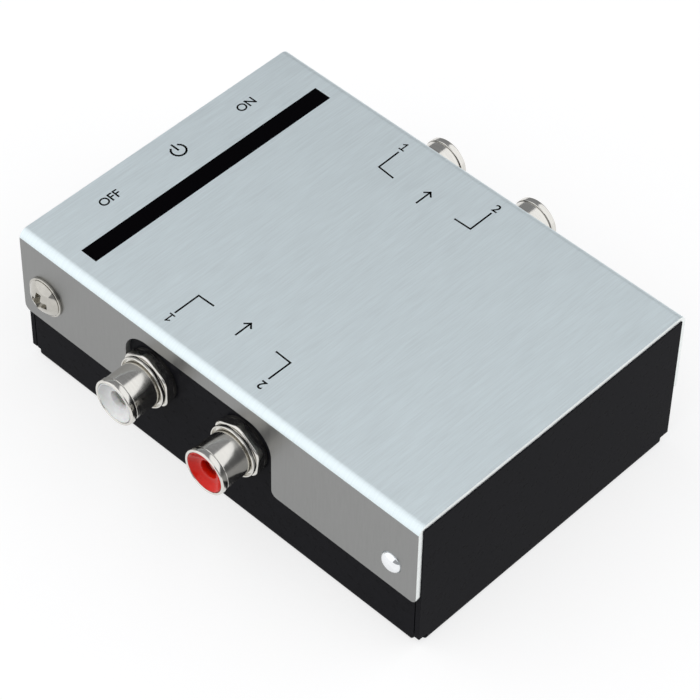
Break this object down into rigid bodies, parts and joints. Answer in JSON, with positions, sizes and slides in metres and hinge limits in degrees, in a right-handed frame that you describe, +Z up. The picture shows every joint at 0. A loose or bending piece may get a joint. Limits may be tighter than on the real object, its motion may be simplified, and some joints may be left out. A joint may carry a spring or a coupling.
{
  "type": "phono preamp",
  "caption": "Small folded-metal phono preamp box with input jacks, output jacks, a ground screw, a power lamp, a slide switch and a DC inlet.",
  "frame": {"origin": "middle of the case's footprint, on the underside of the chassis floor", "axes": "+Z up; X along the case, with the power switch and inlet at -X; input jacks face -Y, output jacks face +Y"},
  "size_m": [0.0936, 0.0796, 0.03],
  "materials": {
    "black_paint": "semi-gloss black paint",
    "brushed_cover": "brushed across the case",
    "nickel": "bright nickel plate",
    "white_plastic": "gloss",
    "red_plastic": "gloss",
    "contact_metal": "tinned",
    "fibre": "matt",
    "tinned_steel": "zinc or tin plate",
    "polished_steel": "bright nickel plate",
    "clear_lens": "clear, low dome",
    "lamp_epoxy": "clear epoxy",
    "phenolic": "matt",
    "black_plastic": "satin",
    "black_screw": "black oxide",
    "board_laminate": "solder mask",
    "chip_plastic": "matt",
    "capacitor_sleeve": "shrunk sleeve",
    "film_red": "gloss",
    "resistor_blue": "lacquer",
    "wire_black": "insulation",
    "wire_red": "insulation"
  },
  "bodies": {
    "case": {"chassis": "black_paint", "cover": "brushed_cover", "input_left_shell": "nickel", "input_left_insulator": "white_plastic", "input_left_contact": "contact_metal", "input_right_shell": "nickel", "input_right_insulator": "red_plastic", "input_right_contact": "contact_metal", "output_left_shell": "nickel", "output_left_insulator": "white_plastic", "output_left_contact": "contact_metal", "output_right_shell": "nickel", "output_right_insulator": "red_plastic", "output_right_contact": "contact_metal", "jack_fibre_washers": "fibre", "jack_solder_lugs": "tinned_steel", "jack_nuts": "tinned_steel", "ground_nut": "tinned_steel", "ground_lug": "tinned_steel", "lamp_lens": "clear_lens", "power_lamp": "lamp_epoxy", "lamp_leads": "tinned_steel", "switch_frame": "tinned_steel", "switch_body": "phenolic", "switch_terminals": "tinned_steel", "switch_screws": "black_screw", "inlet_body": "black_plastic", "inlet_pin": "contact_metal", "inlet_nut": "nickel", "inlet_terminals": "tinned_steel", "circuit_board": "board_laminate", "board_posts": "tinned_steel", "board_screws": "tinned_steel", "cover_screws": "black_screw", "op_amp_left": "chip_plastic", "op_amp_right": "chip_plastic", "electrolytic_capacitors": "capacitor_sleeve", "film_capacitors": "film_red", "resistors": "resistor_blue", "voltage_regulator": "chip_plastic", "signal_wires": "tinned_steel", "ground_wires": "wire_black", "power_wires": "wire_red"},
    "power_knob": {"switch_knob": "black_plastic"},
    "terminal_washer": {"ground_washer": "polished_steel"},
    "terminal_screw": {"ground_screw": "polished_steel"}
  },
  "joints": [
    {"name": "power_slide", "type": "slide", "parent": "case", "child": "power_knob", "axis": [0, 1, 0], "range_m": [0, 0.004]},
    {"name": "ground_turn", "type": "hinge", "parent": "case", "child": "terminal_washer", "pos_m": [-0.0392, -0.0315, 0.0188], "axis": [0, -1, 0], "range_deg": [0, 901]},
    {"name": "ground_back_out", "type": "slide", "parent": "terminal_washer", "child": "terminal_screw", "axis": [0, -1, 0], "range_m": [0, 0.00175]}
  ],
  "couplings": [
    {"joint": "ground_turn", "follows": "ground_back_out", "rad_per_m": 8976}
  ]
}
